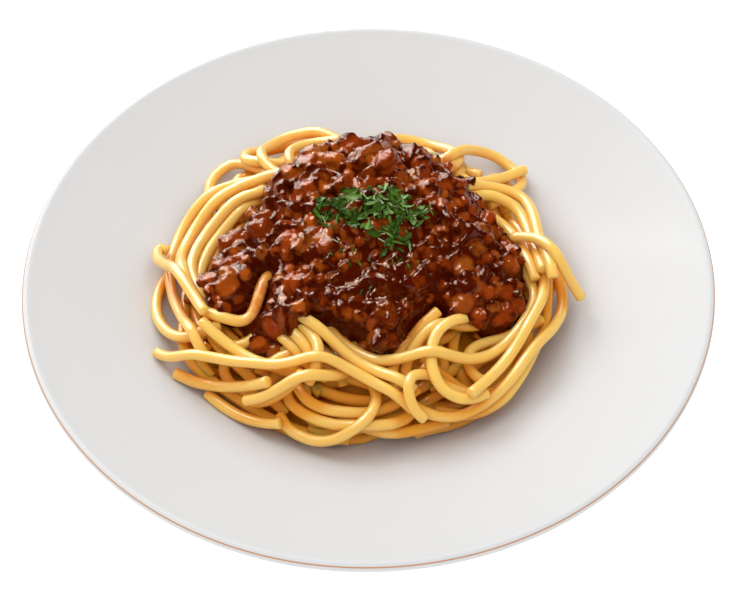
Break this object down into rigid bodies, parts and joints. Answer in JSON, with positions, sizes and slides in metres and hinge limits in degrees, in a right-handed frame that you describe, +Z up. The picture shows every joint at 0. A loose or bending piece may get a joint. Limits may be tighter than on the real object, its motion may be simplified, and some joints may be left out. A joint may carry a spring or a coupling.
{
  "type": "spaghetti bolognese on a plate",
  "caption": "Nest of boiled spaghetti under a blanket of minced meat sauce and chopped parsley, served in the well of a round wide-rimmed porcelain plate.",
  "frame": {"origin": "centre of the underside of the plate's foot ring, on the surface the plate stands on", "axes": "+Z up through the middle of the plate, -Y towards the diner, +X to the diner's right"},
  "size_m": [0.23, 0.23, 0.0544],
  "materials": {
    "porcelain": "gloss",
    "pasta": "satin",
    "sauce": "gloss",
    "herb": "satin"
  },
  "bodies": {
    "root": {"plate": "porcelain", "spaghetti": "pasta", "meat_sauce": "sauce", "parsley": "herb"}
  },
  "joints": []
}
